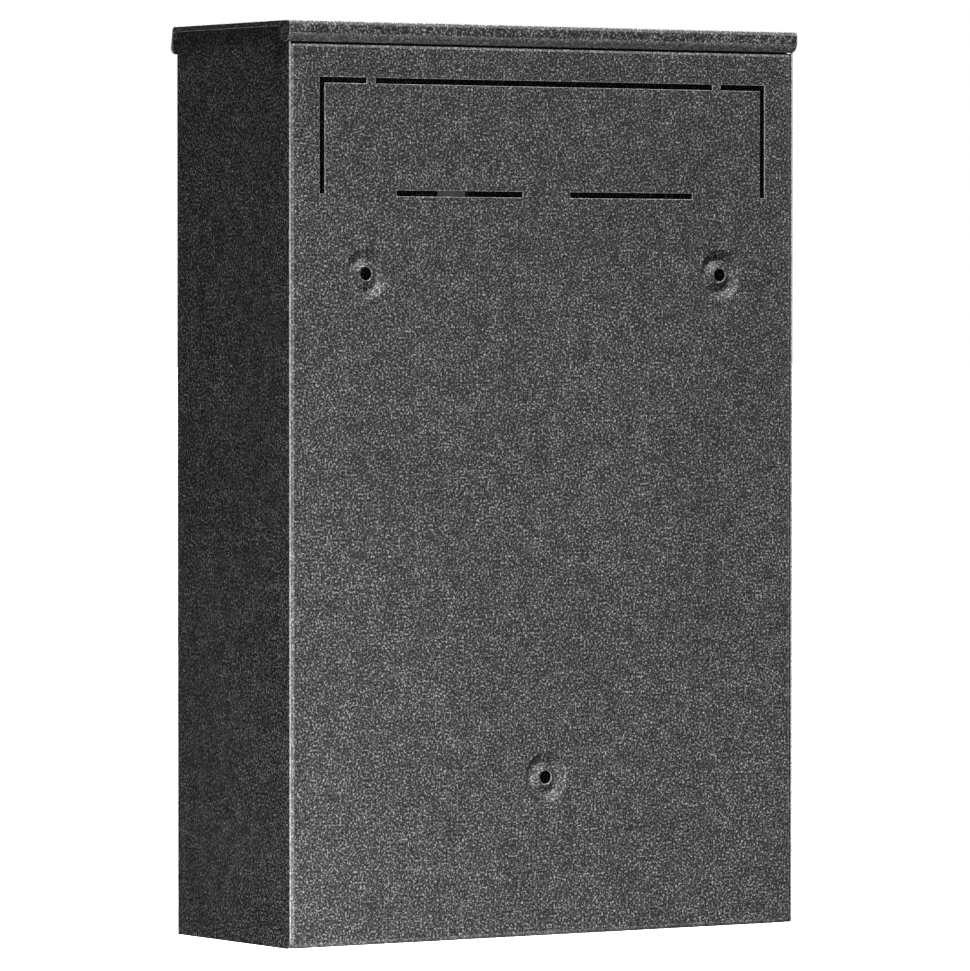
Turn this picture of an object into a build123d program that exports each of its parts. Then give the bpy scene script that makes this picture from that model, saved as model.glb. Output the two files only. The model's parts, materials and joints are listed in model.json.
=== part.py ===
"""Wall mounted mailbox in folded steel sheet, with a lid, a front door and a cam lock.

Millimetres.  +Z is up, +Y points to the wall, +X is the right side seen from the front.
The origin lies on the back panel's rear face, midway between the two upper fixing holes.
"""
import os

from build123d import *

os.makedirs("parts", exist_ok=True)

# Body
WIDTH = 245.0
HEIGHT = 370.0
DEPTH = 88.5
SHEET = 0.8
BEND = 1.6
BOTTOM_BEND = 2.2
FLANGE = 12.0
FIT = 0.02

# Wall fixings
HOLE_R = 2.75
HOLE_SPACING = 172.2
UPPER_HOLE_DROP = 100.8
LOWER_HOLE_DROP = 204.6
DIMPLE_R = 10.4
DIMPLE_DEPTH = 2.8
TROUGH_OUTER_R = 7.3
TROUGH_INNER_R = 6.1
LAND_R = 3.4
LAND_DEPTH = 0.7

# Lid and its rolled hinge edge
LID_SHEET = 0.7
LID_GAP = 0.3
LID_SIDE_GAP = 0.2
LID_REAR = 2.0
ROLL_R = 4.2
ROLL_TOP = 4.3
ROLL_CORNER_R = 1.8
HEM_DROP = 2.2
LIP_DROP = 11.0
LIP_TOP_OUT = 1.0
LIP_BOTTOM_OUT = 3.0
LIP_CORNER_R = 2.5
ROD_R = 1.5
EYE_R = 2.7
NOTCH_R = 4.6
NECK_LOW = -0.6
NECK_HIGH = 2.6
BUSH_LENGTH = 8.0
BUFFER_R = 4.0
BUFFER_HEIGHT = 3.0
BUFFER_X = 95.0

# Knock-out flap in the back panel
FLAP_TOP_DROP = 22.3
FLAP_SIDE_DROP = 69.0
FLAP_LOW_DROP = 67.3
FLAP_HALF = 108.25
FLAP_SLOT = 2.4
FLAP_TAB = 4.2
FLAP_TAB_X = 84.0
LOW_SLOT_START = 11.5
LOW_SLOT_END = 71.9

# Front strips and side returns
PANEL_TOP_DROP = 9.0
RETURN_WIDTH = 10.0
FASCIA_DROP = 38.8
FASCIA_FLANGE = 10.0
APRON_HEIGHT = 58.0
APRON_FLANGE = 15.0
APRON_LIP = 2.6

# Door and its hinge
DOOR_GAP = 0.8
DOOR_PROUD = 0.2
DOOR_LIFT = 1.3
DOOR_OVERLAP = 8.0
DOOR_BEND = 2.5
FLANGE_STOP = 1.5
PIVOT_IN = 4.0
PIVOT_UP = 4.0
DOOR_ROD_R = 2.0
DOOR_ROD_FIT = 0.06
BRACKET_T = 1.5
BRACKET_GAP = 1.0
BRACKET_RISE = 8.0
BRACKET_DEPTH = 9.0
BRACKET_FOOT = 7.7
STIFFENER_DROP = 211.0
STIFFENER_DEPTH = 7.0

# Cam lock
LOCK_DROP = 52.0
LOCK_HEAD_R = 11.0
LOCK_HEAD_T = 2.0
LOCK_BODY_R = 9.0
LOCK_FLATS = 16.0
PLUG_R = 6.0
PLUG_FIT = 0.05
KEYWAY = (2.0, 8.5)
KEYWAY_DEPTH = 12.0
CAM_SETBACK = 16.0
CAM_T = 1.5
CAM_WIDTH = 13.0
CAM_REACH = 24.0
CAM_CLEARANCE = 0.5
POST = 6.0
LOCK_PLATE = (60.0, 36.0, 1.2)
NUT_FLATS = 21.0
NUT_T = 3.0
WASHER_R = 5.0
WASHER_T = 0.8
SCREW_R = 1.6
SCREW_HEAD_R = 3.6
SCREW_HEAD_T = 2.4
SCREW_LENGTH = 8.0

# Name plate
NAMEPLATE_DROP = 126.0
NAMEPLATE_SIZE = (90.0, 24.0)
NAMEPLATE_T = 2.4
NAMEPLATE_RIM = 2.0
CARD_SIZE = (68.0, 16.0)
CARD_T = 0.4
WINDOW_T = 0.9
RIVET_X = 40.0
RIVET_R = 1.5
RIVET_HEAD_R = 2.6
RIVET_HEAD_T = 1.0

# Places that follow from the sizes above
Z_TOP = UPPER_HOLE_DROP
Z_BOTTOM = Z_TOP - HEIGHT
Y_FRONT = -DEPTH
HALF = WIDTH / 2
INNER_HALF = HALF - SHEET
WALL_TOP = Z_TOP - LID_SHEET - LID_GAP
PANEL_TOP = Z_TOP - PANEL_TOP_DROP
STRIP_FACE = Y_FRONT + SHEET
STRIP_BACK = STRIP_FACE + SHEET
STRIP_HALF = INNER_HALF - SHEET - 0.1
FASCIA_TOP = WALL_TOP - BUFFER_HEIGHT
FASCIA_BOTTOM = Z_TOP - FASCIA_DROP
APRON_TOP = Z_BOTTOM + APRON_HEIGHT
LID_HALF = HALF + LID_SIDE_GAP + LID_SHEET
AXIS_Y = LID_REAR - ROLL_R
AXIS_Z = Z_TOP - ROLL_TOP
DOOR_FACE = Y_FRONT - DOOR_PROUD
DOOR_BACK = DOOR_FACE + SHEET
DOOR_HALF = HALF - RETURN_WIDTH - DOOR_GAP
DOOR_BOTTOM = APRON_TOP + DOOR_LIFT
DOOR_TOP = FASCIA_BOTTOM + DOOR_OVERLAP
PIVOT_Y = Y_FRONT + PIVOT_IN
PIVOT_Z = DOOR_BOTTOM + PIVOT_UP
BRACKET_X = DOOR_HALF + BRACKET_GAP
LOCK_Z = Z_TOP - LOCK_DROP
CAM_FRONT = Y_FRONT + CAM_SETBACK
CAM_BACK = CAM_FRONT + CAM_T
NUT_FRONT = DOOR_BACK + LOCK_PLATE[2]
NAMEPLATE_Z = Z_TOP - NAMEPLATE_DROP
HINGE_LINE = Plane(origin=(0, AXIS_Y, AXIS_Z), x_dir=(0, 1, 0), z_dir=(1, 0, 0))


def facing_wall(y, z=0.0, x=0.0):
    """Plane at depth y whose normal is +Y, with its own y along +Z."""
    return Plane(origin=(x, y, z), x_dir=(-1, 0, 0), z_dir=(0, 1, 0))


def save(part, name):
    """Label one finished piece and write its STEP file."""
    part.label = name
    export_step(part, f"parts/{name}.step")


# Back panel: a shallow tray, flanged on all four sides, its open side to the front
PANEL_HEIGHT = PANEL_TOP - Z_BOTTOM
with BuildPart() as back_hollow:
    with BuildSketch(Plane.XY.offset(Z_BOTTOM + SHEET)):
        with Locations((0, -SHEET)):
            Rectangle(2 * (INNER_HALF - SHEET), 2 * FLANGE, align=(Align.CENTER, Align.MAX))
    extrude(amount=PANEL_HEIGHT - 2 * SHEET)
    fillet(back_hollow.edges().filter_by(Axis.Z).group_by(Axis.Y)[-1], BEND - SHEET)
    rear_edges = back_hollow.edges().filter_by(Axis.X).group_by(Axis.Y)[-1]
    fillet(rear_edges.sort_by(Axis.Z)[-1], BEND - SHEET)
    rear_edges = back_hollow.edges().filter_by(Axis.X).group_by(Axis.Y)[-1]
    fillet(rear_edges.sort_by(Axis.Z)[0], BOTTOM_BEND - SHEET)

with BuildPart() as back_panel:
    with BuildSketch(Plane.XY.offset(Z_BOTTOM)):
        Rectangle(2 * INNER_HALF, FLANGE, align=(Align.CENTER, Align.MAX))
    extrude(amount=PANEL_HEIGHT)
    fillet(back_panel.edges().filter_by(Axis.Z).group_by(Axis.Y)[-1], BEND)
    rear_edges = back_panel.edges().filter_by(Axis.X).group_by(Axis.Y)[-1]
    fillet(rear_edges.sort_by(Axis.Z)[-1], BEND)
    rear_edges = back_panel.edges().filter_by(Axis.X).group_by(Axis.Y)[-1]
    fillet(rear_edges.sort_by(Axis.Z)[0], BOTTOM_BEND)
    add(back_hollow.part, mode=Mode.SUBTRACT)
    # Perforation round the knock-out flap
    with BuildSketch(facing_wall(-SHEET * 2)):
        row_z = Z_TOP - FLAP_TOP_DROP - FLAP_SLOT / 2
        inner_end = FLAP_TAB_X - FLAP_TAB / 2
        outer_start = FLAP_TAB_X + FLAP_TAB / 2
        with Locations((0, row_z)):
            Rectangle(2 * inner_end, FLAP_SLOT)
        for side in (-1, 1):
            with Locations((side * (outer_start + FLAP_HALF) / 2, row_z)):
                Rectangle(FLAP_HALF - outer_start, FLAP_SLOT)
            with Locations((side * (FLAP_HALF - FLAP_SLOT / 2), Z_TOP - FLAP_TOP_DROP)):
                Rectangle(FLAP_SLOT, FLAP_SIDE_DROP - FLAP_TOP_DROP, align=(Align.CENTER, Align.MAX))
            with Locations((side * (LOW_SLOT_START + LOW_SLOT_END) / 2, Z_TOP - FLAP_LOW_DROP)):
                Rectangle(LOW_SLOT_END - LOW_SLOT_START, FLAP_SLOT, align=(Align.CENTER, Align.MAX))
    extrude(amount=SHEET * 3, mode=Mode.SUBTRACT)
    # Fixing holes, each in a stamped ring with a raised land
    for hole_x, hole_z in ((-HOLE_SPACING / 2, 0), (HOLE_SPACING / 2, 0), (0, -LOWER_HOLE_DROP)):
        with BuildSketch(facing_wall(-SHEET * 2, hole_z, hole_x)):
            Circle(DIMPLE_R + 2)
        extrude(amount=SHEET * 3, mode=Mode.SUBTRACT)
        with BuildSketch(Plane(origin=(hole_x, 0, hole_z), x_dir=(1, 0, 0), z_dir=(0, 0, 1))) as ring:
            with BuildLine():
                Polyline(
                    (HOLE_R, -LAND_DEPTH),
                    (LAND_R, -LAND_DEPTH),
                    (TROUGH_INNER_R, -DIMPLE_DEPTH),
                    (TROUGH_OUTER_R, -DIMPLE_DEPTH),
                    (DIMPLE_R, 0),
                    (DIMPLE_R + 2, 0),
                    (DIMPLE_R + 2, -SHEET),
                    (DIMPLE_R, -SHEET),
                    (TROUGH_OUTER_R, -DIMPLE_DEPTH - SHEET),
                    (TROUGH_INNER_R, -DIMPLE_DEPTH - SHEET),
                    (LAND_R, -LAND_DEPTH - SHEET),
                    (HOLE_R, -LAND_DEPTH - SHEET),
                    close=True,
                )
            make_face()
            fillet(ring.vertices().filter_by_position(Axis.X, LAND_R - 0.1, DIMPLE_R + 1), 0.55)
        revolve(axis=Axis((hole_x, 0, hole_z), (0, 1, 0)))
save(back_panel.part, "back_panel")

# Floor pan: stands on the lower flanges of the back panel and the apron
FLOOR_HALF = INNER_HALF - SHEET
FLOOR_REAR = -SHEET
FLOOR_LENGTH = FLOOR_REAR - STRIP_BACK
with BuildPart() as floor_hollow:
    with BuildSketch(Plane.XY.offset(Z_BOTTOM + 2 * SHEET)):
        with Locations((0, (FLOOR_REAR + STRIP_BACK) / 2)):
            Rectangle(2 * (FLOOR_HALF - SHEET), FLOOR_LENGTH - 2 * SHEET)
    extrude(amount=2 * FLANGE)
    fillet(floor_hollow.edges().filter_by(Axis.Z), BEND - SHEET)
    fillet(floor_hollow.faces().sort_by(Axis.Z)[0].edges(), BEND - SHEET)

with BuildPart() as floor_pan:
    with BuildSketch(Plane.XY.offset(Z_BOTTOM + SHEET)):
        with Locations((0, (FLOOR_REAR + STRIP_BACK) / 2)):
            Rectangle(2 * FLOOR_HALF, FLOOR_LENGTH)
    extrude(amount=FLANGE)
    fillet(floor_pan.edges().filter_by(Axis.Z), BEND)
    fillet(floor_pan.faces().sort_by(Axis.Z)[0].edges(), BEND)
    add(floor_hollow.part, mode=Mode.SUBTRACT)
save(floor_pan.part, "floor_pan")

# Side walls: a plate with a front return, and an ear that carries the lid's rod
with BuildPart() as right_side_wall:
    with BuildSketch(Plane.XY.offset(Z_BOTTOM)):
        with BuildLine():
            FilletPolyline((HALF, 0), (HALF, Y_FRONT), (HALF - RETURN_WIDTH, Y_FRONT), radius=BEND)
            offset(amount=SHEET, side=Side.RIGHT)
        make_face()
    extrude(amount=WALL_TOP - Z_BOTTOM)
    fillet(right_side_wall.edges().filter_by(Axis.X).group_by(Axis.Z)[0].sort_by(Axis.Y)[-1], BOTTOM_BEND)
    with BuildSketch(HINGE_LINE.offset(INNER_HALF - 1)):
        Circle(NOTCH_R)
    extrude(amount=SHEET + 2, mode=Mode.SUBTRACT)
    with BuildSketch(HINGE_LINE.offset(INNER_HALF)):
        Circle(EYE_R)
        with Locations((-NOTCH_R / 2 - 0.2, (NECK_LOW + NECK_HIGH) / 2)):
            Rectangle(NOTCH_R + 0.4, NECK_HIGH - NECK_LOW)
        Circle(ROD_R + FIT, mode=Mode.SUBTRACT)
    extrude(amount=SHEET)
save(right_side_wall.part, "right_side_wall")

with BuildPart() as left_side_wall:
    add(mirror(right_side_wall.part, about=Plane.YZ))
save(left_side_wall.part, "left_side_wall")

# Upper fascia: its lower flange is the rail that the cam locks behind
with BuildPart() as upper_fascia:
    with BuildSketch(Plane.YZ):
        with BuildLine():
            FilletPolyline(
                (CAM_FRONT - CAM_CLEARANCE, FASCIA_BOTTOM),
                (STRIP_FACE, FASCIA_BOTTOM),
                (STRIP_FACE, FASCIA_TOP),
                (STRIP_FACE + FASCIA_FLANGE, FASCIA_TOP),
                radius=BEND,
            )
            offset(amount=SHEET, side=Side.RIGHT)
        make_face()
    extrude(amount=STRIP_HALF, both=True)
save(upper_fascia.part, "upper_fascia")

# Lower apron: closes the front below the door, with a low rain lip behind the door's foot
with BuildPart() as lower_apron:
    with BuildSketch(Plane.YZ):
        with BuildLine():
            FilletPolyline(
                (STRIP_FACE + FLANGE, Z_BOTTOM),
                (STRIP_FACE, Z_BOTTOM),
                (STRIP_FACE, APRON_TOP),
                (STRIP_FACE + APRON_FLANGE, APRON_TOP),
                (STRIP_FACE + APRON_FLANGE, APRON_TOP + APRON_LIP),
                radius=BEND,
            )
            offset(amount=SHEET, side=Side.RIGHT)
        make_face()
    extrude(amount=STRIP_HALF, both=True)
save(lower_apron.part, "lower_apron")

# Lid: front lip, flat top and a roll round the hinge rod, with side hems that end in D ears
with BuildPart() as lid:
    with BuildSketch(Plane.YZ):
        with BuildLine():
            FilletPolyline(
                (Y_FRONT - LIP_BOTTOM_OUT, Z_TOP - LIP_DROP),
                (Y_FRONT - LIP_TOP_OUT, Z_TOP),
                (LID_REAR, Z_TOP),
                (LID_REAR, AXIS_Z),
                radius=(BEND, ROLL_CORNER_R),
            )
            CenterArc((AXIS_Y, AXIS_Z), ROLL_R, 0, -90)
            offset(amount=LID_SHEET, side=Side.RIGHT)
        make_face()
    extrude(amount=LID_HALF, both=True)
    for plane in (Plane.YZ.offset(LID_HALF), Plane.YZ.offset(LID_SHEET - LID_HALF)):
        with BuildSketch(plane) as hem:
            with BuildLine():
                Polyline(
                    (Y_FRONT - LIP_TOP_OUT, Z_TOP - HEM_DROP),
                    (Y_FRONT - LIP_TOP_OUT, Z_TOP),
                    (LID_REAR, Z_TOP),
                    (LID_REAR, AXIS_Z),
                )
                CenterArc((AXIS_Y, AXIS_Z), ROLL_R, 0, -180)
                Polyline(
                    (AXIS_Y - ROLL_R, AXIS_Z),
                    (AXIS_Y - ROLL_R, Z_TOP - HEM_DROP),
                    (Y_FRONT - LIP_TOP_OUT, Z_TOP - HEM_DROP),
                )
            make_face()
            fillet(hem.vertices().group_by(Axis.Y)[-1].sort_by(Axis.X)[0], BEND)
            fillet(hem.vertices().group_by(Axis.Y)[-1].sort_by(Axis.X)[-1], ROLL_CORNER_R)
        extrude(amount=-LID_SHEET)
    lip_corners = lid.edges().filter_by(lambda e: e.length < 1 and e.center().Z < Z_TOP - LIP_DROP + 0.5)
    fillet(lip_corners.filter_by(lambda e: abs(e.center().X) > LID_HALF - 0.1), LIP_CORNER_R)
save(lid.part, "lid")

with BuildPart() as lid_hinge_rod:
    with BuildSketch(HINGE_LINE):
        Circle(ROD_R)
    extrude(amount=HALF, both=True)
    chamfer(lid_hinge_rod.edges().filter_by(GeomType.CIRCLE), 0.25)
save(lid_hinge_rod.part, "lid_hinge_rod")

with BuildPart() as lid_hinge_bushes:
    for bush_x in (INNER_HALF - 0.7 - BUSH_LENGTH, 0.7 - INNER_HALF):
        with BuildSketch(HINGE_LINE.offset(bush_x)):
            Circle(ROLL_R - LID_SHEET - 0.05)
            Circle(ROD_R + 0.05, mode=Mode.SUBTRACT)
        extrude(amount=BUSH_LENGTH)
save(lid_hinge_bushes.part, "lid_hinge_bushes")

with BuildPart() as lid_buffers:
    with BuildSketch(Plane.XY.offset(FASCIA_TOP)):
        with Locations((-BUFFER_X, STRIP_FACE + 5.5), (BUFFER_X, STRIP_FACE + 5.5)):
            Circle(BUFFER_R)
    extrude(amount=BUFFER_HEIGHT)
    fillet(lid_buffers.faces().filter_by(Axis.Z).group_by(Axis.Z)[-1].edges(), 1.0)
save(lid_buffers.part, "lid_buffers")

# Door: a pan whose side flanges stop below the fascia, which its top edge overlaps
with BuildPart() as door_hollow:
    with BuildSketch(Plane.XY.offset(DOOR_BOTTOM + SHEET)):
        with Locations((0, DOOR_BACK)):
            Rectangle(2 * (DOOR_HALF - SHEET), 2 * FLANGE, align=(Align.CENTER, Align.MIN))
    extrude(amount=HEIGHT)
    fillet(door_hollow.edges().filter_by(Axis.Z).group_by(Axis.Y)[0], BEND - SHEET)
    fillet(door_hollow.edges().filter_by(Axis.X).group_by(Axis.Z)[0].sort_by(Axis.Y)[0], DOOR_BEND - SHEET)

with BuildPart() as door_panel:
    with BuildSketch(Plane.XY.offset(DOOR_BOTTOM)):
        with Locations((0, DOOR_FACE)):
            Rectangle(2 * DOOR_HALF, FLANGE, align=(Align.CENTER, Align.MIN))
    extrude(amount=DOOR_TOP - DOOR_BOTTOM)
    fillet(door_panel.edges().filter_by(Axis.Z).group_by(Axis.Y)[0], BEND)
    fillet(door_panel.edges().filter_by(Axis.X).group_by(Axis.Z)[0].sort_by(Axis.Y)[0], DOOR_BEND)
    add(door_hollow.part, mode=Mode.SUBTRACT)
    with BuildSketch(Plane.XY.offset(FASCIA_BOTTOM - FLANGE_STOP)):
        with Locations((0, DOOR_BACK)):
            Rectangle(WIDTH, 2 * FLANGE, align=(Align.CENTER, Align.MIN))
    extrude(amount=HEIGHT, mode=Mode.SUBTRACT)
    with BuildSketch(facing_wall(DOOR_FACE - 1, LOCK_Z)):
        Circle(LOCK_BODY_R + 0.1)
        Rectangle(LOCK_FLATS + 0.2, 4 * LOCK_BODY_R, mode=Mode.INTERSECT)
    extrude(amount=SHEET + 2, mode=Mode.SUBTRACT)
    with BuildSketch(facing_wall(DOOR_FACE - 1, NAMEPLATE_Z)):
        with Locations((-RIVET_X, 0), (RIVET_X, 0)):
            Circle(RIVET_R + FIT)
    extrude(amount=SHEET + 2, mode=Mode.SUBTRACT)
    with BuildSketch(Plane(origin=(0, PIVOT_Y, PIVOT_Z), x_dir=(0, 1, 0), z_dir=(1, 0, 0))):
        Circle(DOOR_ROD_R + DOOR_ROD_FIT)
    extrude(amount=HALF, both=True, mode=Mode.SUBTRACT)
save(door_panel.part, "door_panel")

with BuildPart() as door_stiffener:
    with BuildSketch(Plane(origin=(0, DOOR_BACK, Z_TOP - STIFFENER_DROP), x_dir=(0, 1, 0), z_dir=(1, 0, 0))):
        with BuildLine():
            FilletPolyline(
                (0, -18),
                (0, -11),
                (STIFFENER_DEPTH, -7),
                (STIFFENER_DEPTH, 7),
                (0, 11),
                (0, 18),
                radius=1.6,
            )
            offset(amount=SHEET, side=Side.RIGHT)
        make_face()
    extrude(amount=DOOR_HALF - BEND - 0.1, both=True)
save(door_stiffener.part, "door_stiffener")

with BuildPart() as door_hinge_rod:
    with BuildSketch(Plane(origin=(0, PIVOT_Y, PIVOT_Z), x_dir=(0, 1, 0), z_dir=(1, 0, 0))):
        Circle(DOOR_ROD_R)
    extrude(amount=BRACKET_X + BRACKET_T + 1, both=True)
    chamfer(door_hinge_rod.edges().filter_by(GeomType.CIRCLE), 0.4)
save(door_hinge_rod.part, "door_hinge_rod")

with BuildPart() as right_hinge_bracket:
    with BuildSketch(facing_wall(STRIP_FACE)):
        with BuildLine():
            FilletPolyline(
                (-BRACKET_X, PIVOT_Z + BRACKET_RISE),
                (-BRACKET_X, APRON_TOP),
                (-BRACKET_X - BRACKET_FOOT, APRON_TOP),
                radius=BRACKET_T + 1,
            )
            offset(amount=BRACKET_T, side=Side.RIGHT)
        make_face()
    extrude(amount=BRACKET_DEPTH)
    fillet(right_hinge_bracket.edges().filter_by(Axis.X).group_by(Axis.Z)[-1].sort_by(Axis.Y)[-1], 4.0)
    with BuildSketch(Plane(origin=(0, PIVOT_Y, PIVOT_Z), x_dir=(0, 1, 0), z_dir=(1, 0, 0))):
        Circle(DOOR_ROD_R + FIT)
    extrude(amount=HALF, mode=Mode.SUBTRACT)
save(right_hinge_bracket.part, "right_hinge_bracket")

with BuildPart() as left_hinge_bracket:
    add(mirror(right_hinge_bracket.part, about=Plane.YZ))
save(left_hinge_bracket.part, "left_hinge_bracket")

# Cam lock
with BuildPart() as lock_plate:
    with BuildSketch(facing_wall(DOOR_BACK, LOCK_Z)) as plate_outline:
        with Locations((0, LOCK_HEAD_R)):
            RectangleRounded(LOCK_PLATE[0], LOCK_PLATE[1], 3, align=(Align.CENTER, Align.MAX))
        Circle(LOCK_BODY_R + 0.1, mode=Mode.SUBTRACT)
    extrude(amount=LOCK_PLATE[2])
save(lock_plate.part, "lock_plate")

with BuildPart() as lock_housing:
    with BuildSketch(facing_wall(DOOR_FACE - LOCK_HEAD_T, LOCK_Z)):
        Circle(LOCK_HEAD_R)
    extrude(amount=LOCK_HEAD_T)
    fillet(lock_housing.edges().group_by(Axis.Y)[0], 0.8)
    with BuildSketch(facing_wall(DOOR_FACE, LOCK_Z)):
        Circle(LOCK_BODY_R)
        Rectangle(LOCK_FLATS, 4 * LOCK_BODY_R, mode=Mode.INTERSECT)
    extrude(amount=CAM_FRONT - 0.3 - DOOR_FACE)
    with BuildSketch(facing_wall(DOOR_FACE - 2 * LOCK_HEAD_T, LOCK_Z)):
        Circle(PLUG_R + PLUG_FIT)
    extrude(amount=DEPTH / 2, mode=Mode.SUBTRACT)
save(lock_housing.part, "lock_housing")

with BuildPart() as lock_nut:
    with BuildSketch(facing_wall(NUT_FRONT, LOCK_Z)):
        RegularPolygon(NUT_FLATS / 2, 6, major_radius=False, rotation=30)
        Circle(LOCK_BODY_R + FIT, mode=Mode.SUBTRACT)
    extrude(amount=NUT_T)
save(lock_nut.part, "lock_nut")

with BuildPart() as lock_plug:
    with BuildSketch(facing_wall(DOOR_FACE - LOCK_HEAD_T + 0.2, LOCK_Z)):
        Circle(PLUG_R)
    extrude(amount=CAM_FRONT - DOOR_FACE + LOCK_HEAD_T - 0.2)
    with BuildSketch(facing_wall(CAM_FRONT, LOCK_Z)):
        Rectangle(POST, POST)
    extrude(amount=CAM_T - 0.1)
    with BuildSketch(facing_wall(DOOR_FACE - LOCK_HEAD_T, LOCK_Z)):
        Rectangle(*KEYWAY)
    extrude(amount=KEYWAY_DEPTH, mode=Mode.SUBTRACT)
    with BuildSketch(facing_wall(CAM_BACK, LOCK_Z)):
        Circle(SCREW_R + FIT)
    extrude(amount=-SCREW_LENGTH - 0.5, mode=Mode.SUBTRACT)
save(lock_plug.part, "lock_plug")

with BuildPart() as lock_cam:
    with BuildSketch(facing_wall(CAM_FRONT, LOCK_Z)) as cam_outline:
        Circle(CAM_WIDTH / 2)
        Rectangle(CAM_WIDTH, CAM_REACH, align=(Align.CENTER, Align.MAX))
        fillet(cam_outline.vertices().group_by(Axis.Y)[0], 3.0)
        Rectangle(POST + 2 * PLUG_FIT, POST + 2 * PLUG_FIT, mode=Mode.SUBTRACT)
    extrude(amount=CAM_T)
save(lock_cam.part, "lock_cam")

with BuildPart() as cam_washer:
    with BuildSketch(facing_wall(CAM_BACK, LOCK_Z)):
        Circle(WASHER_R)
        Circle(SCREW_R + 0.4, mode=Mode.SUBTRACT)
    extrude(amount=WASHER_T)
save(cam_washer.part, "cam_washer")

with BuildPart() as cam_screw:
    with BuildSketch(facing_wall(CAM_BACK + WASHER_T, LOCK_Z)):
        Circle(SCREW_HEAD_R)
    extrude(amount=SCREW_HEAD_T)
    fillet(cam_screw.edges().group_by(Axis.Y)[-1], 0.9)
    with BuildSketch(facing_wall(CAM_BACK + WASHER_T + SCREW_HEAD_T, LOCK_Z)):
        Rectangle(4.2, 0.9)
        Rectangle(0.9, 4.2)
    extrude(amount=-1.3, mode=Mode.SUBTRACT)
    with BuildSketch(facing_wall(CAM_BACK + WASHER_T, LOCK_Z)):
        Circle(SCREW_R)
    extrude(amount=-SCREW_LENGTH)
save(cam_screw.part, "cam_screw")

# Name plate on the door
with BuildPart() as nameplate_frame:
    with BuildSketch(facing_wall(DOOR_FACE - NAMEPLATE_T, NAMEPLATE_Z)):
        RectangleRounded(*NAMEPLATE_SIZE, 3)
    extrude(amount=NAMEPLATE_T)
    fillet(nameplate_frame.faces().sort_by(Axis.Y)[0].edges(), 0.7)
    with BuildSketch(facing_wall(DOOR_FACE, NAMEPLATE_Z)):
        Rectangle(CARD_SIZE[0] + 0.4, CARD_SIZE[1] + 0.4)
    extrude(amount=-(CARD_T + WINDOW_T + 0.1), mode=Mode.SUBTRACT)
    with BuildSketch(facing_wall(DOOR_FACE, NAMEPLATE_Z)):
        Rectangle(CARD_SIZE[0] - 2 * NAMEPLATE_RIM, CARD_SIZE[1] - 2 * NAMEPLATE_RIM)
        with Locations((-RIVET_X, 0), (RIVET_X, 0)):
            Circle(RIVET_R + FIT)
    extrude(amount=-2 * NAMEPLATE_T, mode=Mode.SUBTRACT)
save(nameplate_frame.part, "nameplate_frame")

with BuildPart() as name_card:
    with BuildSketch(facing_wall(DOOR_FACE - CARD_T, NAMEPLATE_Z)):
        Rectangle(*CARD_SIZE)
    extrude(amount=CARD_T)
save(name_card.part, "name_card")

with BuildPart() as nameplate_window:
    with BuildSketch(facing_wall(DOOR_FACE - CARD_T - WINDOW_T, NAMEPLATE_Z)):
        Rectangle(*CARD_SIZE)
    extrude(amount=WINDOW_T)
save(nameplate_window.part, "nameplate_window")

with BuildPart() as nameplate_rivets:
    for rivet_x in (-RIVET_X, RIVET_X):
        head_y = DOOR_FACE - NAMEPLATE_T
        with BuildSketch(facing_wall(head_y, NAMEPLATE_Z, rivet_x)):
            Circle(RIVET_HEAD_R)
        extrude(amount=-RIVET_HEAD_T)
        with BuildSketch(facing_wall(head_y, NAMEPLATE_Z, rivet_x)):
            Circle(RIVET_R)
        extrude(amount=DOOR_BACK - head_y)
        with BuildSketch(facing_wall(DOOR_BACK, NAMEPLATE_Z, rivet_x)):
            Circle(RIVET_HEAD_R - 0.4)
        extrude(amount=1.2)
    fillet(nameplate_rivets.edges().group_by(Axis.Y)[0], 0.8)
    fillet(nameplate_rivets.edges().group_by(Axis.Y)[-1], 0.8)
save(nameplate_rivets.part, "nameplate_rivets")
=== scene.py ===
"""Finishes, worked edges and studio for the wall mounted mailbox.

Metres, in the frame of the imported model: +Z is up, +Y points to the wall,
and the origin lies on the back panel between the two upper fixing holes.
"""
import json
import math

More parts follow.
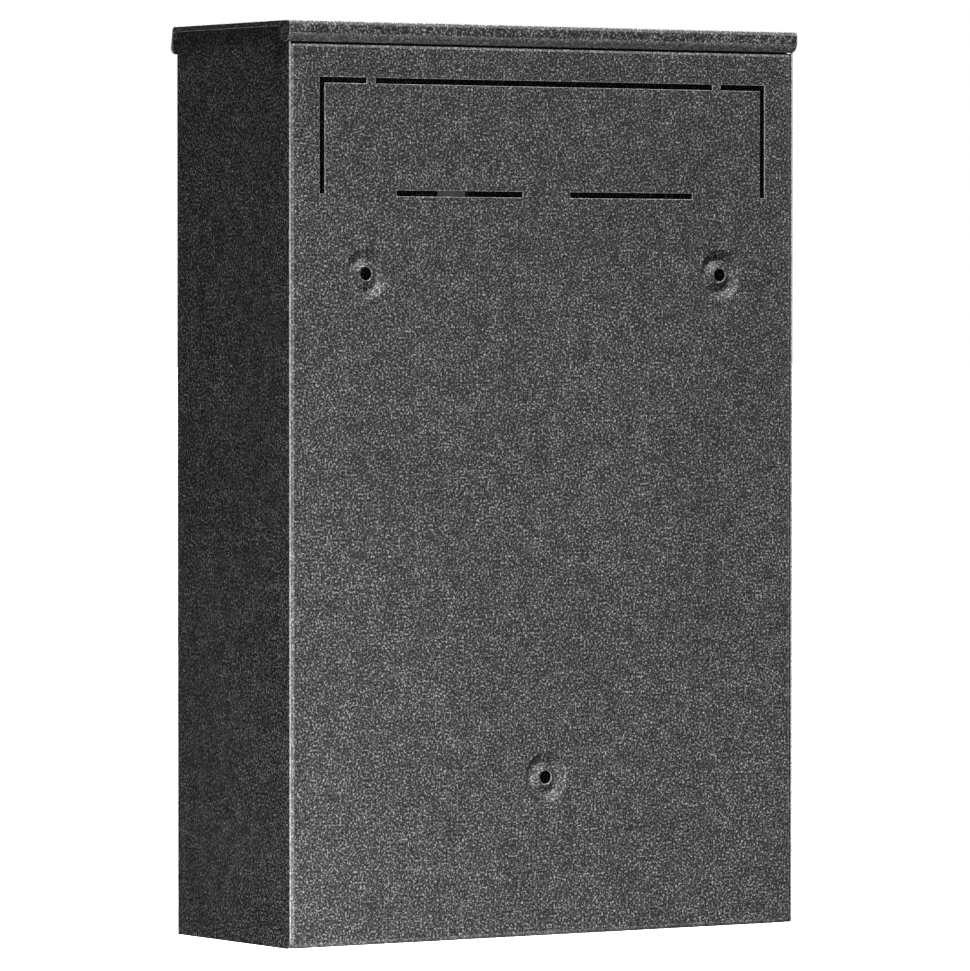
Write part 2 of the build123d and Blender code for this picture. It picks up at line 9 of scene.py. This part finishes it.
import bmesh
import bpy
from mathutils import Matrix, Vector

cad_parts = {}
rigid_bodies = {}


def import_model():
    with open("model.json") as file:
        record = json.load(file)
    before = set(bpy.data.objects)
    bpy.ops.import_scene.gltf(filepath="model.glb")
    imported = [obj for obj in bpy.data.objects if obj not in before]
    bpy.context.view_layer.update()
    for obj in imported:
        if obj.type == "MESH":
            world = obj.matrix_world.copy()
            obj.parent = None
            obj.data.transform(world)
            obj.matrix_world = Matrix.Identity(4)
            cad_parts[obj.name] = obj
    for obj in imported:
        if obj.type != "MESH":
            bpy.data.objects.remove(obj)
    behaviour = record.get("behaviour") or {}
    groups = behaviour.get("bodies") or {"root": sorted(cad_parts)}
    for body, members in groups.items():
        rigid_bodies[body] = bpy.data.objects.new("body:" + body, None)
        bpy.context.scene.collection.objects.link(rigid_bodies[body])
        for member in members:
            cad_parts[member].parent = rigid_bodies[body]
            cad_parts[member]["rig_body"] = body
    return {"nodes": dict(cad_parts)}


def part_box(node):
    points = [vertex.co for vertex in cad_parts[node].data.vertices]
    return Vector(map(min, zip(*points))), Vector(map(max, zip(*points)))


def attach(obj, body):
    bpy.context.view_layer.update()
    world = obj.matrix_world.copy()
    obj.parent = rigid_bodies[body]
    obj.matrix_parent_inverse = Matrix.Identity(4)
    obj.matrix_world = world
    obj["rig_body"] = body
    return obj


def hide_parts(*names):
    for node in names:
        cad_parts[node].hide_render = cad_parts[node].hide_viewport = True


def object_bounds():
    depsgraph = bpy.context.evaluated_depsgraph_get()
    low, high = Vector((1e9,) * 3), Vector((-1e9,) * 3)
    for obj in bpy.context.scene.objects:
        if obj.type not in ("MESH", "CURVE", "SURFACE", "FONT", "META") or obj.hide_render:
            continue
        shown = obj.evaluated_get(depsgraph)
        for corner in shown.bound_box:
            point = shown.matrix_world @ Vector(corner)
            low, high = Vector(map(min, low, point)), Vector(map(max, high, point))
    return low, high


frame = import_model()
cad_low, cad_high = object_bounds()
SLOTS = {name: node.data.materials[0].name for name, node in frame["nodes"].items()}

MM = 0.001
SHEET = 0.8 * MM

# Worked edges
MERGE_DISTANCE = 0.001 * MM
FLAT_ANGLE = math.radians(0.5)
SHARP_ANGLE = math.radians(50)
SMOOTH_ANGLE = math.radians(40)
PAINT_ROUND = 0.2 * MM
DEBURR = 0.12 * MM
MOULDED_ROUND = 0.25 * MM
CUT_EDGE_WIDTH = 1.1 * MM
BEND_FACET = 1.0 * MM
STRAIGHT_SHARE = 0.985
SHARP_SHARE = 0.8

# How far the colour is lightened, from 0 on open sheet to 1: paint worn thin and a painted highlight on
# sheared edges and corners, a painted highlight on bends
CUT_EDGE_THIN_PAINT_AND_HIGHLIGHT = 1.0
CORNER_THIN_PAINT_AND_HIGHLIGHT = 0.8
# Bends: a painted highlight
BEND_PAINTED_HIGHLIGHT = 0.22

# Stamped rings round the fixing holes, as (x, z)
RING_REACH = 11.0 * MM
RING_DEPTH = 5.0 * MM
FIXING_HOLES = ((-86.1 * MM, 0.0), (86.1 * MM, 0.0), (0.0, -204.6 * MM))

# Spot welds
WELD_RADIUS = 2.6 * MM
WELD_HEIGHT = 0.14 * MM
WELD_PITCH = 52 * MM

# Studio: seen from behind and a little to the left, through a long lens
FLOOR_SIZE = 60.0
FLOOR_DROP = 0.25
ROOM_LIGHT = 0.04
CAMERA_PLACE = (1.669, 2.528, -0.0169)
CAMERA_AZIMUTH = 147.04
CAMERA_TILT = 1.303
CAMERA_LENS = 276.2


# ---------------------------------------------------------------- finishes


class Finish:
    """One finish: a shader with its own values, and nodes joined on to it."""

    def __init__(self, name, **values):
        self.material = bpy.data.materials.new(name)
        self.material.use_nodes = True
        self.tree = self.material.node_tree
        self.shader = self.tree.nodes["Principled BSDF"]
        for socket, value in values.items():
            self.shader.inputs[socket.replace("_", " ")].default_value = value
        self.place = self.node("ShaderNodeTexCoord").outputs["Object"]

    def node(self, kind, settings=None, **inputs):
        """Add a node, set its options, and give each input a value or a link."""
        made = self.tree.nodes.new(kind)
        for option, value in (settings or {}).items():
            setattr(made, option, value)
        for name, value in inputs.items():
            self.feed(made.inputs[name.replace("_", " ")], value)
        return made

    def feed(self, socket, value):
        if isinstance(value, bpy.types.NodeSocket):
            self.tree.links.new(value, socket)
        else:
            socket.default_value = value

    def noise(self, scale, detail=2.0, roughness=0.5, distortion=0.0, place=None):
        made = self.node(
            "ShaderNodeTexNoise",
            Vector=place or self.place,
            Scale=scale,
            Detail=detail,
            Roughness=roughness,
            Distortion=distortion,
        )
        return made.outputs["Fac"]

    def stretched(self, scale, turn=(0, 0, 0), centre=(0, 0, 0)):
        """The place on the piece, squeezed and turned, for brushed or drawn marks."""
        made = self.node("ShaderNodeMapping", {"vector_type": "POINT"}, Vector=self.place)
        made.inputs["Location"].default_value = [-c * s for c, s in zip(centre, scale)]
        made.inputs["Rotation"].default_value = turn
        made.inputs["Scale"].default_value = scale
        return made.outputs["Vector"]

    def math(self, operation, first, second=0.0):
        made = self.node("ShaderNodeMath", {"operation": operation})
        self.feed(made.inputs[0], first)
        self.feed(made.inputs[1], second)
        return made.outputs[0]

    def between(self, value, low, high, to_low=0.0, to_high=1.0):
        """A value spread over a new range, with soft ends."""
        made = self.node(
            "ShaderNodeMapRange",
            {"interpolation_type": "SMOOTHSTEP"},
            Value=value,
            From_Min=low,
            From_Max=high,
            To_Min=to_low,
            To_Max=to_high,
        )
        return made.outputs["Result"]

    def colours(self, value, *stops):
        """Grey or coloured stops, each (place, colour), read along a value."""
        made = self.node("ShaderNodeValToRGB", Fac=value)
        ramp = made.color_ramp
        while len(ramp.elements) < len(stops):
            ramp.elements.new(1.0)
        for element, (at, colour) in zip(ramp.elements, stops):
            element.position = at
            element.color = (*(colour if isinstance(colour, tuple) else (colour,) * 3), 1)
        return made.outputs["Color"]

    def blend(self, amount, first, second, kind="MIX"):
        made = self.node("ShaderNodeMix", {"data_type": "RGBA", "blend_type": kind})
        self.feed(made.inputs[0], amount)
        self.feed(made.inputs[6], first)
        self.feed(made.inputs[7], second)
        return made.outputs[2]

    def relief(self, height, depth, strength=1.0):
        made = self.node("ShaderNodeBump", Height=height, Distance=depth, Strength=strength)
        return made.outputs["Normal"]

    def finish(self, colour=None, roughness=None, normal=None):
        for name, value in (
            ("Base Color", colour),
            ("Roughness", roughness),
            ("Normal", normal),
        ):
            if value is not None:
                self.feed(self.shader.inputs[name], value)
        return self.material


def hammered_enamel():
    """Charcoal hammer paint: worm-like silver ridges over a near-black ground."""
    paint = Finish("hammered_charcoal_enamel", Specular_IOR_Level=0.24)
    worms = paint.noise(1150, detail=2.2, roughness=0.6, distortion=0.35)
    flecks = paint.noise(1900, detail=1.0, roughness=0.5)
    pools = paint.noise(16, detail=3.0, roughness=0.55)
    clouds = paint.noise(140, detail=2.0, roughness=0.5)

    height = paint.math("ADD", paint.math("MULTIPLY", worms, 0.78), paint.math("MULTIPLY", flecks, 0.22))
    height = paint.math("ADD", height, paint.math("MULTIPLY", paint.math("SUBTRACT", clouds, 0.5), 0.10))
    tone = paint.colours(
        height,
        (0.38, (0.0030, 0.0030, 0.0032)),
        (0.47, (0.0080, 0.0081, 0.0084)),
        (0.55, (0.040, 0.0405, 0.0415)),
        (0.66, (0.215, 0.217, 0.221)),
    )
    shade = paint.colours(pools, (0.32, 0.80), (0.68, 1.0))
    tone = paint.blend(1.0, tone, shade, "MULTIPLY")

    # Sheared edges, corners and bends are lightened towards grey: partly paint worn thin, partly a
    # painted highlight where they catch the light
    thin = paint.node("ShaderNodeAttribute", {"attribute_name": "thin_paint_and_highlight"}).outputs["Fac"]
    broken = paint.between(height, 0.38, 0.60, 0.35, 1.0)
    thinned_and_highlit = paint.math("MULTIPLY", thin, broken)
    tone = paint.blend(thinned_and_highlit, tone, (0.25, 0.252, 0.256, 1.0))

    roughness = paint.between(height, 0.38, 0.66, 0.62, 0.40)
    normal = paint.relief(height, 0.5 * MM, 0.85)
    return paint.finish(tone, roughness, normal)


def zinc_plate():
    """Bright zinc plating: a cool, faintly blotched metal with drawn scratches."""
    zinc = Finish("bright_zinc_plate", Metallic=0.25)
    blotches = zinc.noise(260, detail=4.0, roughness=0.6)
    drawn = zinc.noise(900, detail=2.0, place=zinc.stretched((0.06, 1.0, 1.0)))
    colour = zinc.colours(
        blotches,
        (0.30, (0.50, 0.51, 0.51)),
        (0.52, (0.68, 0.69, 0.70)),
        (0.74, (0.78, 0.78, 0.74)),
    )
    roughness = zinc.between(zinc.math("ADD", blotches, drawn), 0.75, 1.25, 0.30, 0.50)
    normal = zinc.relief(drawn, 0.02 * MM, 0.5)
    return zinc.finish(colour, roughness, normal)


def lock_chrome():
    """Plated die casting: satin chrome with hairline key scuffs round its centre."""
    chrome = Finish("satin_lock_chrome", Metallic=0.9)
    low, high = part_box("lock_plug")
    middle = (low + high) / 2
    cast = chrome.noise(420, detail=3.0, roughness=0.6)
    scuffs = chrome.noise(1500, detail=1.0, place=chrome.stretched((0.15, 1.0, 1.0), (0, 0.7, 0), middle))
    hairs = chrome.between(scuffs, 0.60, 0.74)
    colour = chrome.colours(cast, (0.30, (0.60, 0.61, 0.62)), (0.70, (0.74, 0.745, 0.75)))
    satin = chrome.between(cast, 0.3, 0.7, 0.22, 0.32)
    roughness = chrome.math("ADD", satin, chrome.math("MULTIPLY", hairs, 0.2))
    normal = chrome.relief(cast, 0.01 * MM, 0.4)
    return chrome.finish(colour, roughness, normal)


def natural_nylon():
    """Milky moulded nylon for the lid's bushes."""
    nylon = Finish("natural_nylon", Subsurface_Weight=0.15, Specular_IOR_Level=0.45)
    nylon.shader.inputs["Subsurface Scale"].default_value = 0.8 * MM
    cloud = nylon.noise(300, detail=3.0)
    grain = nylon.noise(2600, detail=1.0)
    colour = nylon.colours(cloud, (0.3, (0.66, 0.64, 0.57)), (0.7, (0.78, 0.76, 0.70)))
    roughness = nylon.between(grain, 0.3, 0.7, 0.34, 0.50)
    normal = nylon.relief(grain, 0.02 * MM, 0.5)
    return nylon.finish(colour, roughness, normal)


def buffer_rubber():
    """Matt black rubber with a dusty bloom."""
    rubber = Finish("buffer_rubber", Specular_IOR_Level=0.25)
    dust = rubber.noise(520, detail=4.0, roughness=0.7)
    pores = rubber.noise(3000, detail=1.0)
    colour = rubber.colours(dust, (0.40, (0.010, 0.010, 0.010)), (0.75, (0.055, 0.053, 0.050)))
    roughness = rubber.between(dust, 0.3, 0.7, 0.72, 0.9)
    normal = rubber.relief(pores, 0.04 * MM, 0.7)
    return rubber.finish(colour, roughness, normal)


def moulded_black():
    """Spark-grained black plastic for the name plate's frame."""
    plastic = Finish("spark_grained_plastic", Specular_IOR_Level=0.4)
    spark = plastic.noise(2300, detail=2.0, roughness=0.6)
    wear = plastic.noise(180, detail=4.0, roughness=0.65)
    colour = plastic.colours(wear, (0.35, (0.008, 0.008, 0.009)), (0.75, (0.022, 0.022, 0.023)))
    # Edges and corners are lightened by half as much: edge wear and a painted highlight
    thin = plastic.node("ShaderNodeAttribute", {"attribute_name": "thin_paint_and_highlight"}).outputs["Fac"]
    colour = plastic.blend(plastic.math("MULTIPLY", thin, 0.5), colour, (0.06, 0.06, 0.062, 1.0))
    roughness = plastic.between(wear, 0.3, 0.7, 0.36, 0.55)
    normal = plastic.relief(spark, 0.05 * MM, 0.6)
    return plastic.finish(colour, roughness, normal)


def ruled_card():
    """White card with two pale ruled lines to write on."""
    card = Finish("ruled_name_card", Specular_IOR_Level=0.2)
    low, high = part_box("name_card")
    split = card.node("ShaderNodeSeparateXYZ", Vector=card.place)
    fibres = card.noise(1400, detail=3.0, place=card.stretched((1.0, 1.0, 0.35)))
    colour = card.colours(fibres, (0.30, (0.74, 0.72, 0.67)), (0.60, (0.86, 0.85, 0.82)))
    inside = card.between(card.math("ABSOLUTE", split.outputs["X"]), 29.5 * MM, 29.0 * MM)
    for share in (0.30, 0.66):
        line_z = low.z + share * (high.z - low.z)
        away = card.math("ABSOLUTE", card.math("SUBTRACT", split.outputs["Z"], line_z))
        ink = card.math("MULTIPLY", card.between(away, 0.17 * MM, 0.11 * MM), inside)
        ink = card.math("MULTIPLY", ink, card.between(fibres, 0.28, 0.45, 0.55, 0.95))
        colour = card.blend(ink, colour, (0.30, 0.33, 0.38, 1.0))
    roughness = card.between(fibres, 0.3, 0.7, 0.75, 0.9)
    normal = card.relief(fibres, 0.03 * MM, 0.5)
    return card.finish(colour, roughness, normal)


def clear_window():
    """Clear acrylic: a thin glossy film over the card, hazed by fine rub marks."""
    window = Finish("clear_acrylic_window", IOR=1.49, Specular_IOR_Level=0.35)
    rubs = window.noise(2200, detail=2.0, place=window.stretched((0.25, 1.0, 1.0), (0, 0.35, 0)))
    window.feed(window.shader.inputs["Alpha"], window.between(rubs, 0.45, 0.75, 0.05, 0.12))
    roughness = window.between(rubs, 0.52, 0.72, 0.04, 0.22)
    colour = window.colours(rubs, (0.3, (0.80, 0.82, 0.83)), (0.8, (0.92, 0.93, 0.93)))
    return window.finish(colour, roughness)


FINISHES = {
    "hammered_enamel": hammered_enamel(),
    "zinc_plate": zinc_plate(),
    "lock_chrome": lock_chrome(),
    "nylon": natural_nylon(),
    "buffer_rubber": buffer_rubber(),
    "frame_plastic": moulded_black(),
    "card_paper": ruled_card(),
    "clear_window": clear_window(),
}


# ---------------------------------------------------------------- worked edges


def merged_copy(node):
    """One CAD node with its loose triangles joined and its flat faces made whole."""
    mesh = bmesh.new()
    mesh.from_mesh(frame["nodes"][node].data)
    bmesh.ops.remove_doubles(mesh, verts=mesh.verts, dist=MERGE_DISTANCE)
    bmesh.ops.dissolve_limit(mesh, angle_limit=FLAT_ANGLE, verts=mesh.verts, edges=mesh.edges)
    return mesh


def is_corner(edge):
    return edge.is_manifold and edge.is_convex and edge.calc_face_angle() > SHARP_ANGLE


def in_stamped_ring(point):
    """Whether a point lies on one of the dished rings round the fixing holes."""
    if point.y <= -RING_DEPTH:
        return False
    return any(math.hypot(point.x - x, point.z - z) < RING_REACH for x, z in FIXING_HOLES)


def thin_paint_and_highlight(face):
    """How far the colour is lightened: fully on a sheared edge, for thin paint and a painted highlight;
    partly on a bend, for a painted highlight; not on open sheet.
    """
    width = 2 * face.calc_area() / max(face.calc_perimeter(), MERGE_DISTANCE)
    if width > CUT_EDGE_WIDTH or in_stamped_ring(face.calc_center_median()):
        return 0.0
    sharp = sum(e.calc_length() for e in face.edges if is_corner(e))
    # Sheared edges: paint worn thin and a painted highlight
    if sharp > SHARP_SHARE * face.calc_perimeter():
        return CUT_EDGE_THIN_PAINT_AND_HIGHLIGHT
    squareness = max(abs(share) for share in face.normal)
    # Bends: a painted highlight
    return BEND_PAINTED_HIGHLIGHT if width < BEND_FACET and squareness < STRAIGHT_SHARE else 0.0


def finished_object(name, mesh, body, slot, *nodes):
    """Turn worked geometry into a named piece that rides on its body."""
    data = bpy.data.meshes.new(name)
    mesh.to_mesh(data)
    mesh.free()
    data.materials.append(FINISHES[slot])
    data.set_sharp_from_angle(angle=SMOOTH_ANGLE)
    piece = bpy.data.objects.new(name, data)
    bpy.context.scene.collection.objects.link(piece)
    even = piece.modifiers.new("even_shading", "WEIGHTED_NORMAL")
    even.keep_sharp = True
    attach(piece, body)
    if nodes:
        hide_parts(*nodes)
    return piece


def worked_piece(node, name, edge):
    """A CAD node with every outer corner eased by a small round."""
    mesh = merged_copy(node)
    layer = mesh.faces.layers.float.new("thin_paint_and_highlight")
    for face in mesh.faces:
        face.smooth = True
        face[layer] = thin_paint_and_highlight(face)
    rounds = bmesh.ops.bevel(
        mesh,
        geom=[e for e in mesh.edges if is_corner(e)],
        offset=edge,
        offset_type="OFFSET",
        segments=2,
        profile=0.5,
        affect="EDGES",
        clamp_overlap=False,
    )
    # Rounded corners: paint worn thin and a painted highlight
    for face in rounds["faces"]:
        face.smooth = True
        face[layer] = CORNER_THIN_PAINT_AND_HIGHLIGHT
    body = frame["nodes"][node]["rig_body"]
    return finished_object(name, mesh, body, SLOTS[node], node)


PAINTED = (
    "back_panel",
    "floor_pan",
    "left_side_wall",
    "right_side_wall",
    "upper_fascia",
    "lower_apron",
    "lid",
    "door_panel",
    "door_stiffener",
    "lock_plate",
    "left_hinge_bracket",
    "right_hinge_bracket",
)
METAL = (
    "lock_cam",
    "lock_nut",
    "lock_plug",
    "cam_washer",
    "nameplate_rivets",
    "lid_hinge_rod",
    "door_hinge_rod",
)

for node in PAINTED:
    worked_piece(node, f"painted_{node}", PAINT_ROUND)
for node in METAL:
    worked_piece(node, f"deburred_{node}", DEBURR)
worked_piece("nameplate_frame", "moulded_nameplate_frame", MOULDED_ROUND)

for name, node in frame["nodes"].items():
    if not node.hide_render:
        node.data.materials.clear()
        node.data.materials.append(FINISHES[SLOTS[name]])


# ---------------------------------------------------------------- spot welds


def spot_weld_tree():
    """A shallow round nugget on every point, facing the way the row is told to."""
    tree = bpy.data.node_groups.new("spot_welds", "GeometryNodeTree")
    sockets = tree.interface
    sockets.new_socket("Geometry", in_out="INPUT", socket_type="NodeSocketGeometry")
    sockets.new_socket("Weld radius", in_out="INPUT", socket_type="NodeSocketFloat")
    sockets.new_socket("Weld height", in_out="INPUT", socket_type="NodeSocketFloat")
    sockets.new_socket("Facing", in_out="INPUT", socket_type="NodeSocketVector")
    sockets.new_socket("Finish", in_out="INPUT", socket_type="NodeSocketMaterial")
    sockets.new_socket("Geometry", in_out="OUTPUT", socket_type="NodeSocketGeometry")
    nodes, links = tree.nodes, tree.links
    given = nodes.new("NodeGroupInput")
    result = nodes.new("NodeGroupOutput")

    nugget = nodes.new("GeometryNodeMeshUVSphere")
    nugget.inputs["Segments"].default_value = 12
    nugget.inputs["Rings"].default_value = 6
    nugget.inputs["Radius"].default_value = 1.0
    size = nodes.new("ShaderNodeCombineXYZ")
    links.new(given.outputs["Weld radius"], size.inputs["X"])
    links.new(given.outputs["Weld radius"], size.inputs["Y"])
    links.new(given.outputs["Weld height"], size.inputs["Z"])

    uneven = nodes.new("FunctionNodeRandomValue")
    uneven.data_type = "FLOAT"
    uneven.inputs[2].default_value = 0.85
    uneven.inputs[3].default_value = 1.1
    uneven.inputs["Seed"].default_value = 7
    scaled = nodes.new("ShaderNodeVectorMath")
    scaled.operation = "SCALE"
    links.new(size.outputs["Vector"], scaled.inputs[0])
    links.new(uneven.outputs[1], scaled.inputs["Scale"])

    turn = nodes.new("FunctionNodeAlignRotationToVector")
    turn.axis = "Z"
    links.new(given.outputs["Facing"], turn.inputs["Vector"])
    place = nodes.new("GeometryNodeInstanceOnPoints")
    links.new(given.outputs["Geometry"], place.inputs["Points"])
    links.new(nugget.outputs["Mesh"], place.inputs["Instance"])
    links.new(turn.outputs["Rotation"], place.inputs["Rotation"])
    links.new(scaled.outputs["Vector"], place.inputs["Scale"])
    real = nodes.new("GeometryNodeRealizeInstances")
    links.new(place.outputs["Instances"], real.inputs["Geometry"])
    smooth = nodes.new("GeometryNodeSetShadeSmooth")
    links.new(real.outputs["Geometry"], smooth.inputs["Geometry"])
    coat = nodes.new("GeometryNodeSetMaterial")
    links.new(smooth.outputs["Geometry"], coat.inputs["Geometry"])
    links.new(given.outputs["Finish"], coat.inputs["Material"])
    links.new(coat.outputs["Geometry"], result.inputs["Geometry"])
    return tree


WELD_TREE = spot_weld_tree()


def tree_input(tree, modifier, name, value):
    for item in tree.interface.items_tree:
        if item.item_type == "SOCKET" and item.in_out == "INPUT" and item.name == name:
            modifier[item.identifier] = value


def evenly(start, end, pitch=WELD_PITCH):
    """Points from start to end, both kept, no farther apart than the pitch."""
    start, end = Vector(start), Vector(end)
    gaps = max(1, math.ceil((end - start).length / pitch))
    return [start.lerp(end, i / gaps) for i in range(gaps + 1)]


def baked(points_object):
    """Replace an object's live node tree by the plain mesh that it makes."""
    depsgraph = bpy.context.evaluated_depsgraph_get()
    plain = bpy.data.meshes.new_from_object(points_object.evaluated_get(depsgraph))
    points_object.modifiers.clear()
    points_object.data = plain
    plain.name = points_object.name


def weld_rows(name, body, facing, *rows):
    """Spot welds on one side of a seam, as one painted mesh."""
    data = bpy.data.meshes.new(name)
    data.from_pydata([p for row in rows for p in row], [], [])
    piece = bpy.data.objects.new(name, data)
    bpy.context.scene.collection.objects.link(piece)
    modifier = piece.modifiers.new("spot_welds", "NODES")
    modifier.node_group = WELD_TREE
    tree_input(WELD_TREE, modifier, "Weld radius", WELD_RADIUS)
    tree_input(WELD_TREE, modifier, "Weld height", WELD_HEIGHT)
    tree_input(WELD_TREE, modifier, "Facing", facing)
    tree_input(WELD_TREE, modifier, "Finish", FINISHES["hammered_enamel"])
    baked(piece)
    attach(piece, body)


back_low, back_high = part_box("back_panel")
floor_low, floor_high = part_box("floor_pan")
wall_low, wall_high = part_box("right_side_wall")
stiff_low, stiff_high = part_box("door_stiffener")
apron_low, apron_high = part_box("lower_apron")
fascia_low, fascia_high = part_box("upper_fascia")

flange_y = back_low.y + 5 * MM
for side, word in ((-1, "left"), (1, "right")):
    inner_x = side * (back_high.x - SHEET)
    weld_rows(
        f"{word}_back_seam_welds",
        "cabinet",
        (-side, 0, 0),
        evenly((inner_x, flange_y, back_low.z + 30 * MM), (inner_x, flange_y, back_high.z - 20 * MM)),
        evenly(
            (side * (floor_high.x - SHEET), floor_low.y + 14 * MM, floor_low.z + 7 * MM),
            (side * (floor_high.x - SHEET), floor_high.y - 14 * MM, floor_low.z + 7 * MM),
            pitch=30 * MM,
        ),
    )
return_x = wall_high.x - 5.2 * MM
weld_rows(
    "front_return_welds",
    "cabinet",
    (0, -1, 0),
    *[
        evenly((side * return_x, wall_low.y, low), (side * return_x, wall_low.y, high), pitch=26 * MM)
        for side in (-1, 1)
        for low, high in (
            (apron_low.z + 9 * MM, apron_high.z - 9 * MM),
            (fascia_low.z + 8 * MM, fascia_high.z - 8 * MM),
        )
    ],
)
stiffener_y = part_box("door_panel")[0].y + 2 * SHEET
weld_rows(
    "stiffener_welds",
    "door",
    (0, 1, 0),
    *[
        evenly(
            (stiff_low.x + 12 * MM, stiffener_y, z),
            (stiff_high.x - 12 * MM, stiffener_y, z),
            pitch=40 * MM,
        )
        for z in (stiff_low.z + 3.2 * MM, stiff_high.z - 3.2 * MM)
    ],
)


# ---------------------------------------------------------------- studio


def pale_floor():
    """A wide pale floor below the box, which hangs clear of it as on its wall."""
    data = bpy.data.meshes.new("studio_floor")
    level = cad_low.z - FLOOR_DROP
    data.from_pydata(
        [(x * FLOOR_SIZE, y * FLOOR_SIZE, level) for x, y in ((-1, -1), (1, -1), (1, 1), (-1, 1))],
        [],
        [(0, 1, 2, 3)],
    )
    floor = bpy.data.objects.new("studio_floor", data)
    bpy.context.scene.collection.objects.link(floor)
    paper = Finish("pale_studio_paper", Roughness=0.9, Specular_IOR_Level=0.1)
    tooth = paper.noise(6, detail=4.0)
    paper.finish(paper.colours(tooth, (0.3, 0.86), (0.7, 0.90)))
    data.materials.append(paper.material)
    floor.visible_diffuse = False
    floor.visible_glossy = False


def direction(azimuth, elevation):
    """Unit vector from the mailbox towards a place round it; azimuth 0 is in front."""
    turn, lift = math.radians(azimuth), math.radians(elevation)
    return Vector((math.sin(turn) * math.cos(lift), -math.cos(turn) * math.cos(lift), math.sin(lift)))


def lamp(kind, name, azimuth, elevation, power, **settings):
    """A lamp aimed at the middle of the mailbox and hidden from the camera."""
    data = bpy.data.lights.new(name, kind)
    data.energy = power
    reach = settings.pop("distance", 3.0)
    for setting, value in settings.items():
        setattr(data, setting, value)
    holder = bpy.data.objects.new(name, data)
    bpy.context.scene.collection.objects.link(holder)
    back = direction(azimuth, elevation)
    holder.rotation_mode = "QUATERNION"
    holder.rotation_quaternion = back.to_track_quat("Z", "Y")
    holder.location = (cad_low + cad_high) / 2 + back * reach
    holder.visible_camera = False
    return holder


def pale_room():
    """White all round to look at, but dim enough to leave the modelling to the lamps."""
    world = bpy.data.worlds.new("pale_room")
    world.use_nodes = True
    nodes, links = world.node_tree.nodes, world.node_tree.links
    seen = nodes["Background"]
    seen.inputs["Color"].default_value = (1, 1, 1, 1)
    seen.inputs["Strength"].default_value = 1.0
    lit = nodes.new("ShaderNodeBackground")
    lit.inputs["Color"].default_value = (1, 1, 1, 1)
    lit.inputs["Strength"].default_value = ROOM_LIGHT
    path = nodes.new("ShaderNodeLightPath")
    choose = nodes.new("ShaderNodeMixShader")
    links.new(path.outputs["Is Camera Ray"], choose.inputs["Fac"])
    links.new(lit.outputs["Background"], choose.inputs[1])
    links.new(seen.outputs["Background"], choose.inputs[2])
    links.new(choose.outputs["Shader"], nodes["World Output"].inputs["Surface"])
    bpy.context.scene.world = world
    bpy.context.scene.view_settings.view_transform = "Standard"


def studio_camera(location, azimuth, tilt, lens):
    data = bpy.data.cameras.new("studio_camera")
    data.sensor_width = 36.0
    data.lens = lens
    data.clip_start = 0.1
    data.clip_end = 200.0
    camera = bpy.data.objects.new("studio_camera", data)
    bpy.context.scene.collection.objects.link(camera)
    camera.rotation_mode = "QUATERNION"
    camera.rotation_quaternion = (-direction(azimuth, tilt)).to_track_quat("-Z", "Y")
    camera.location = location
    bpy.context.scene.camera = camera


pale_floor()
pale_room()
lamp("SUN", "rear_key", azimuth=170, elevation=56, power=9.6, angle=math.radians(6))
lamp("SUN", "front_key", azimuth=-24, elevation=45, power=8.0, angle=math.radians(10))
lamp("AREA", "level_fill", azimuth=147, elevation=1.25, power=12, shape="DISK", size=0.06, distance=3.07)
lamp("AREA", "low_fill", azimuth=142, elevation=-35, power=3.9, shape="SQUARE", size=0.22, distance=0.55)
soft_box = lamp(
    "AREA", "front_soft_box", azimuth=-16, elevation=8, power=22, shape="SQUARE", size=1.1, distance=2
)
soft_box.visible_diffuse = False
studio_camera(Vector(CAMERA_PLACE), CAMERA_AZIMUTH, CAMERA_TILT, CAMERA_LENS)
